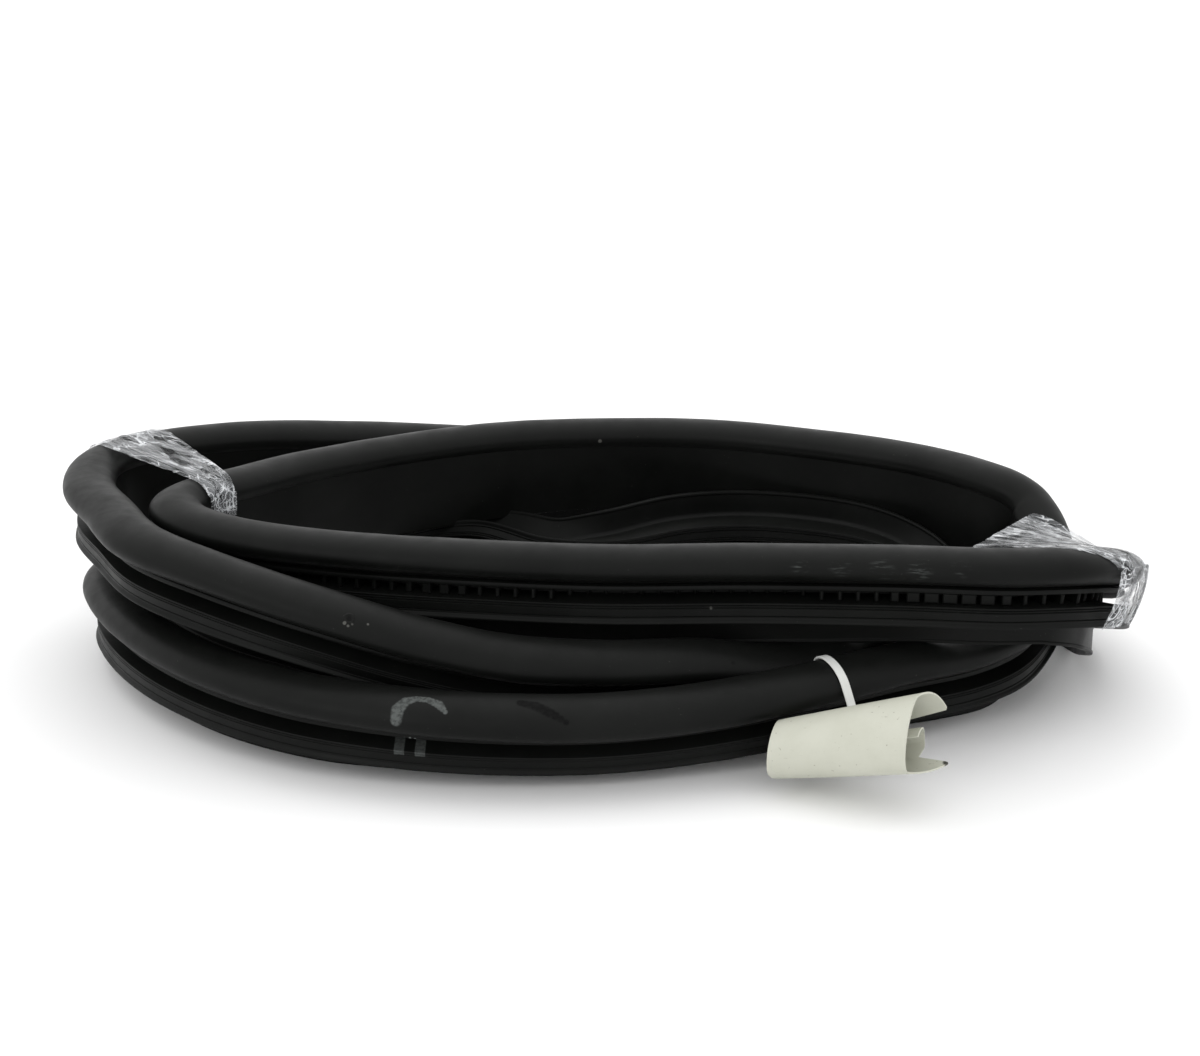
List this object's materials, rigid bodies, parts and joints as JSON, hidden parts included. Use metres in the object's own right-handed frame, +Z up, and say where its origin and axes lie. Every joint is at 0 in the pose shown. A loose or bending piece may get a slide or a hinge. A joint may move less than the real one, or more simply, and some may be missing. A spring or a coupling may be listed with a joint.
{
  "type": "car door seal",
  "caption": "Endless rubber door seal with a bulb, a ribbed channel and a flap, laid in three turns, held with clear tape and carrying a curled card tag.",
  "frame": {"origin": "middle of the coil's footprint, at the floor", "axes": "+X along the coil's length to the right in the picture, +Y to its back, +Z up"},
  "size_m": [0.474, 0.3028, 0.087],
  "materials": {
    "black_rubber": "satin",
    "clear_tape": "glossy",
    "cream_card": "matt",
    "white_nylon": "satin"
  },
  "bodies": {
    "root": {"door_seal": "black_rubber", "tape_left": "clear_tape", "tape_right": "clear_tape", "tag_tie": "white_nylon", "tag": "cream_card"}
  },
  "joints": []
}
